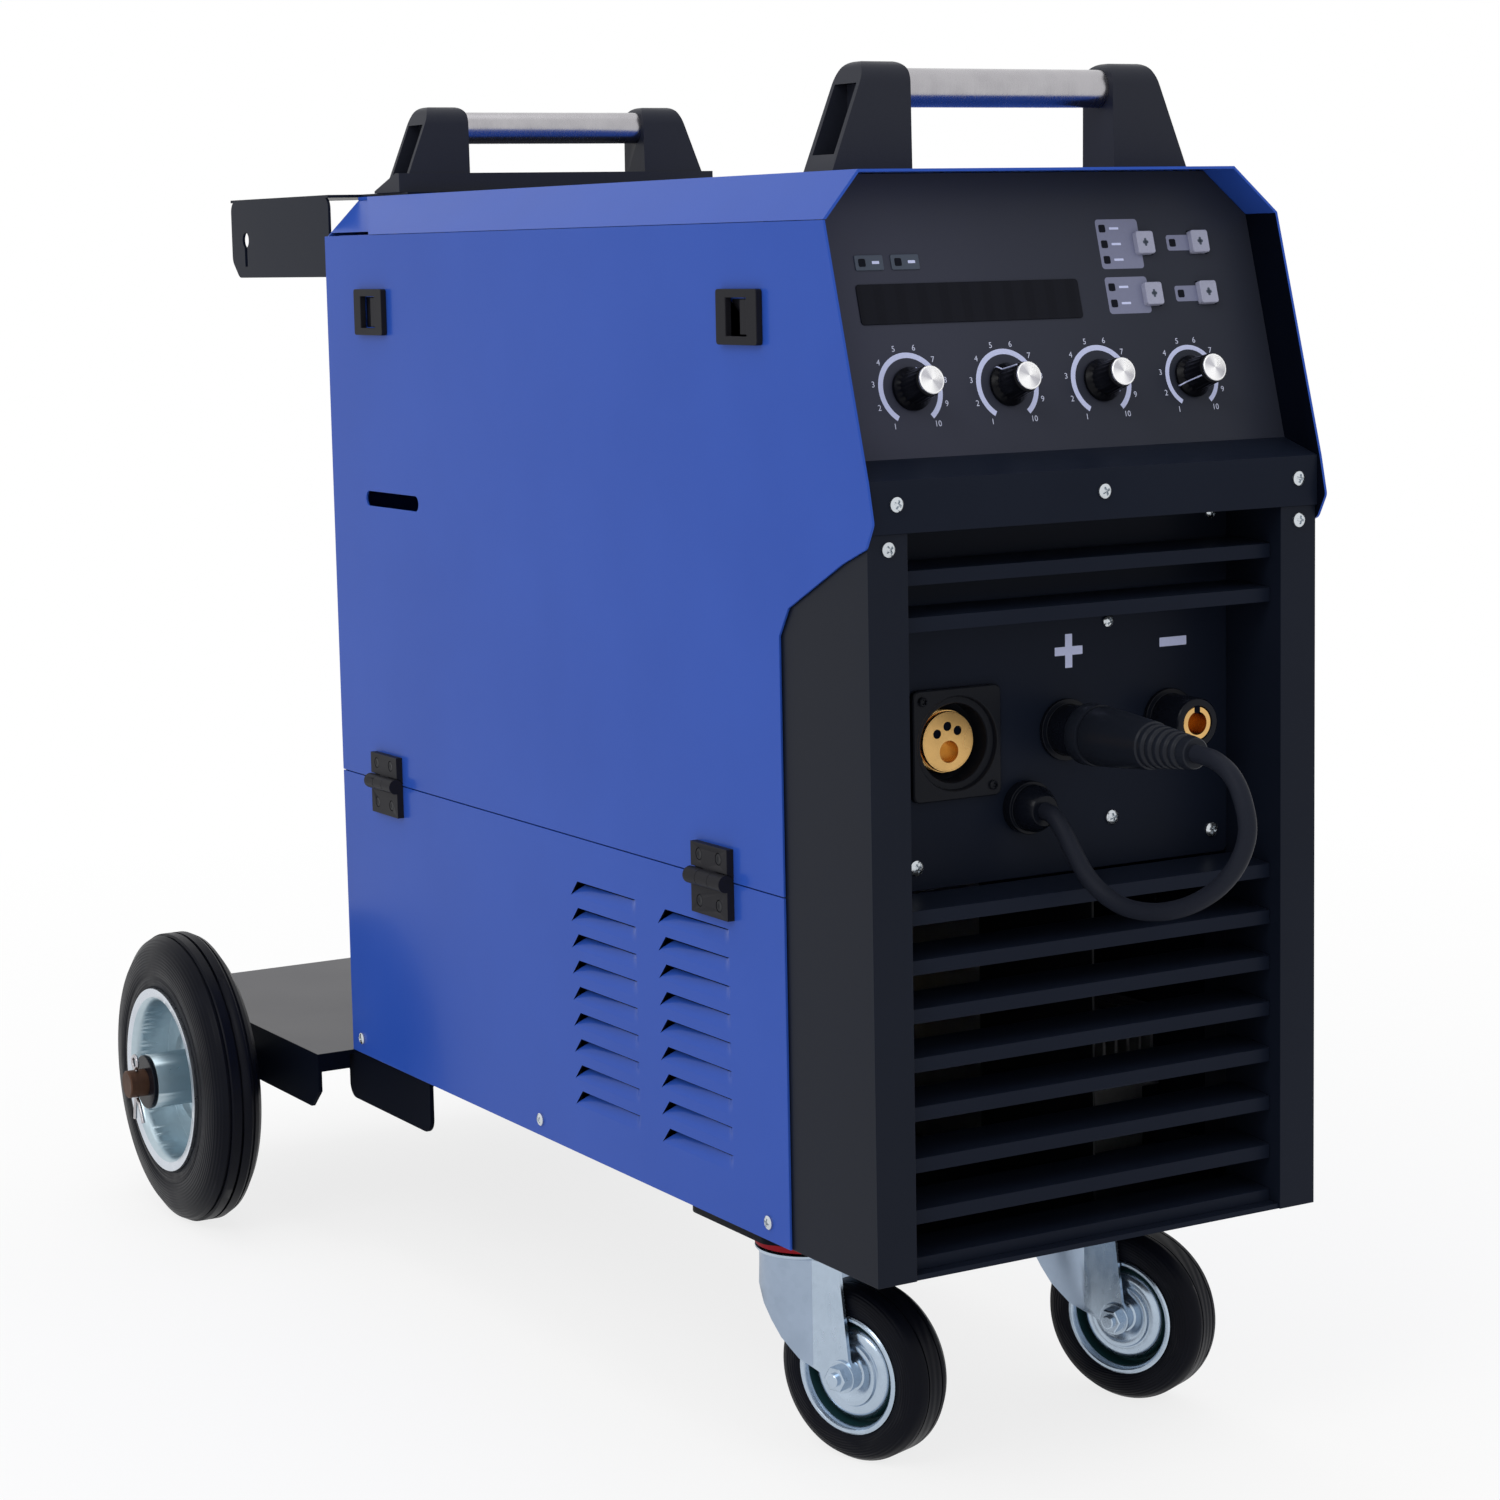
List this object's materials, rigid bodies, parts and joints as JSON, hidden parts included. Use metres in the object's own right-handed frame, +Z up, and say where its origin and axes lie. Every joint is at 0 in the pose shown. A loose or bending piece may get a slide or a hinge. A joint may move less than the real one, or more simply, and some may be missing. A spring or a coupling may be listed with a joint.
{
  "type": "mig welder on cart",
  "caption": "Wire-feed welding machine on a cart: folded case with sloping console, side door over the wire feeder, slatted front, bottle tray, two rear wheels and two swivel casters",
  "frame": {"origin": "middle of the footprint, on the floor", "axes": "X across, Y from the console to the bottle tray, Z up"},
  "size_m": [0.541, 1.091, 0.7965],
  "materials": {
    "blue_coat": "gloss powder coat",
    "black_coat": "satin powder coat",
    "bezel_coat": "satin powder coat",
    "console_coat": "satin film",
    "zinc_plate": "bright zinc plate",
    "moulding": "fine grain",
    "socket_plastic": "semi gloss",
    "grip_steel": "brushed",
    "axle_steel": "browned steel",
    "brass": "turned",
    "lead_rubber": "matte",
    "tyre_rubber": "solid rubber",
    "window_lens": "dark lens",
    "knob_plastic": "satin with silver cap",
    "key_plastic": "satin",
    "core_steel": "varnished laminations",
    "power_parts": "extruded",
    "spool_plastic": "satin"
  },
  "bodies": {
    "root": {"base_plate": "black_coat", "front_bezel": "bezel_coat", "front_slats": "black_coat", "connector_panel": "black_coat", "control_panel": "console_coat", "display_window": "window_lens", "hood": "blue_coat", "left_lower_panel": "blue_coat", "rear_panel": "blue_coat", "inner_frame": "zinc_plate", "handle_posts": "moulding", "handle_tubes": "grip_steel", "cylinder_bracket": "black_coat", "cylinder_tray": "black_coat", "rear_axle": "axle_steel", "euro_flange": "socket_plastic", "brass_contacts": "brass", "output_sockets": "socket_plastic", "cable_glands": "moulding", "polarity_plug": "socket_plastic", "polarity_lead": "lead_rubber", "panel_screws": "zinc_plate", "hinge_lower_leaves": "moulding", "feed_unit": "grip_steel", "wound_cores": "core_steel", "inverter_module": "power_parts", "fan_shroud": "moulding", "rear_fittings": "moulding", "caster_plates": "black_coat", "spool_post": "moulding"},
    "door": {"door_panel": "blue_coat", "hinge_upper_leaves": "moulding", "latch_frames": "moulding"},
    "front_latch": {"latch_slider_front": "moulding"},
    "rear_latch": {"latch_slider_rear": "moulding"},
    "dial_1": {"knob_1": "knob_plastic"},
    "dial_2": {"knob_2": "knob_plastic"},
    "dial_3": {"knob_3": "knob_plastic"},
    "dial_4": {"knob_4": "knob_plastic"},
    "push_1": {"key_1": "key_plastic"},
    "push_2": {"key_2": "key_plastic"},
    "push_3": {"key_3": "key_plastic"},
    "push_4": {"key_4": "key_plastic"},
    "caster_left": {"caster_fork_left": "zinc_plate"},
    "caster_wheel_left": {"caster_rim_left": "zinc_plate", "caster_tyre_left": "tyre_rubber"},
    "caster_right": {"caster_fork_right": "zinc_plate"},
    "caster_wheel_right": {"caster_rim_right": "zinc_plate", "caster_tyre_right": "tyre_rubber"},
    "wheel_left": {"rear_rim_left": "zinc_plate", "rear_tyre_left": "tyre_rubber"},
    "wheel_right": {"rear_rim_right": "zinc_plate", "rear_tyre_right": "tyre_rubber"},
    "spool": {"wire_spool": "spool_plastic"},
    "drive_roll": {"feed_roll": "grip_steel"},
    "arm": {"pressure_arm": "moulding"},
    "idler_roll": {"pressure_roll": "grip_steel"},
    "tensioner": {"tension_lever": "moulding"},
    "fan": {"fan_rotor": "moulding"},
    "mains_knob": {"mains_switch_knob": "moulding"}
  },
  "joints": [
    {"name": "door_swing", "type": "hinge", "parent": "root", "child": "door", "pos_m": [-0.157, -0.1025, 0.3425], "axis": [0, -1, 0], "range_deg": [0, 120]},
    {"name": "front_latch_slide", "type": "slide", "parent": "door", "child": "front_latch", "axis": [0, 1, 0], "range_m": [0, 0.013]},
    {"name": "rear_latch_slide", "type": "slide", "parent": "door", "child": "rear_latch", "axis": [0, 1, 0], "range_m": [0, 0.013]},
    {"name": "dial_1_turn", "type": "hinge", "parent": "root", "child": "dial_1", "pos_m": [-0.0975, -0.44796, 0.62064], "axis": [0, -0.9635, 0.2676], "range_deg": [-150, 150]},
    {"name": "dial_2_turn", "type": "hinge", "parent": "root", "child": "dial_2", "pos_m": [-0.0345, -0.44796, 0.62064], "axis": [0, -0.9635, 0.2676], "range_deg": [-150, 150]},
    {"name": "dial_3_turn", "type": "hinge", "parent": "root", "child": "dial_3", "pos_m": [0.0285, -0.44796, 0.62064], "axis": [0, -0.9635, 0.2676], "range_deg": [-150, 150]},
    {"name": "dial_4_turn", "type": "hinge", "parent": "root", "child": "dial_4", "pos_m": [0.0915, -0.44796, 0.62064], "axis": [0, -0.9635, 0.2676], "range_deg": [-150, 150]},
    {"name": "key_1_press", "type": "slide", "parent": "root", "child": "push_1", "axis": [0, 0.9635, -0.2676], "range_m": [0, 0.001], "stiffness_N_per_m": 300, "springref_m": -0.001},
    {"name": "key_2_press", "type": "slide", "parent": "root", "child": "push_2", "axis": [0, 0.9635, -0.2676], "range_m": [0, 0.001], "stiffness_N_per_m": 300, "springref_m": -0.001},
    {"name": "key_3_press", "type": "slide", "parent": "root", "child": "push_3", "axis": [0, 0.9635, -0.2676], "range_m": [0, 0.001], "stiffness_N_per_m": 300, "springref_m": -0.001},
    {"name": "key_4_press", "type": "slide", "parent": "root", "child": "push_4", "axis": [0, 0.9635, -0.2676], "range_m": [0, 0.001], "stiffness_N_per_m": 300, "springref_m": -0.001},
    {"name": "caster_left_swivel", "type": "hinge", "parent": "root", "child": "caster_left", "pos_m": [-0.0955, -0.3235, 0.1205], "axis": [0, 0, 1], "continuous": true},
    {"name": "caster_left_roll", "type": "hinge", "parent": "caster_left", "child": "caster_wheel_left", "pos_m": [-0.08215, -0.36227, 0.0523], "axis": [0.9455, 0.3256, 0], "continuous": true},
    {"name": "caster_right_swivel", "type": "hinge", "parent": "root", "child": "caster_right", "pos_m": [0.0955, -0.3235, 0.1205], "axis": [0, 0, 1], "continuous": true},
    {"name": "caster_right_roll", "type": "hinge", "parent": "caster_right", "child": "caster_wheel_right", "pos_m": [0.11178, -0.36113, 0.0523], "axis": [0.9178, 0.3971, 0], "continuous": true},
    {"name": "wheel_left_roll", "type": "hinge", "parent": "root", "child": "wheel_left", "pos_m": [-0.2235, 0.333, 0.1055], "axis": [1, 0, 0], "continuous": true},
    {"name": "wheel_right_roll", "type": "hinge", "parent": "root", "child": "wheel_right", "pos_m": [0.2235, 0.333, 0.1055], "axis": [1, 0, 0], "continuous": true},
    {"name": "spool_turn", "type": "hinge", "parent": "root", "child": "spool", "pos_m": [-0.063, -0.035, 0.5075], "axis": [1, 0, 0], "continuous": true},
    {"name": "drive_roll_turn", "type": "hinge", "parent": "root", "child": "drive_roll", "pos_m": [-0.065, -0.295, 0.41], "axis": [1, 0, 0], "continuous": true},
    {"name": "arm_lift", "type": "hinge", "parent": "root", "child": "arm", "pos_m": [-0.054, -0.26, 0.4525], "axis": [-1, 0, 0], "range_deg": [0, 50]},
    {"name": "idler_roll_turn", "type": "hinge", "parent": "arm", "child": "idler_roll", "pos_m": [-0.065, -0.295, 0.439], "axis": [1, 0, 0], "continuous": true},
    {"name": "tensioner_tilt", "type": "hinge", "parent": "root", "child": "tensioner", "pos_m": [-0.08, -0.343, 0.4045], "axis": [-1, 0, 0], "range_deg": [0, 40]},
    {"name": "fan_turn", "type": "hinge", "parent": "root", "child": "fan", "pos_m": [0.0964, 0.175, 0.4925], "axis": [0, 1, 0], "continuous": true},
    {"name": "mains_knob_turn", "type": "hinge", "parent": "root", "child": "mains_knob", "pos_m": [0.0964, 0.205, 0.6125], "axis": [0, 1, 0], "range_deg": [0, 90]}
  ],
  "couplings": [
    {"joint": "idler_roll_turn", "follows": "drive_roll_turn", "ratio": -1.1538}
  ]
}
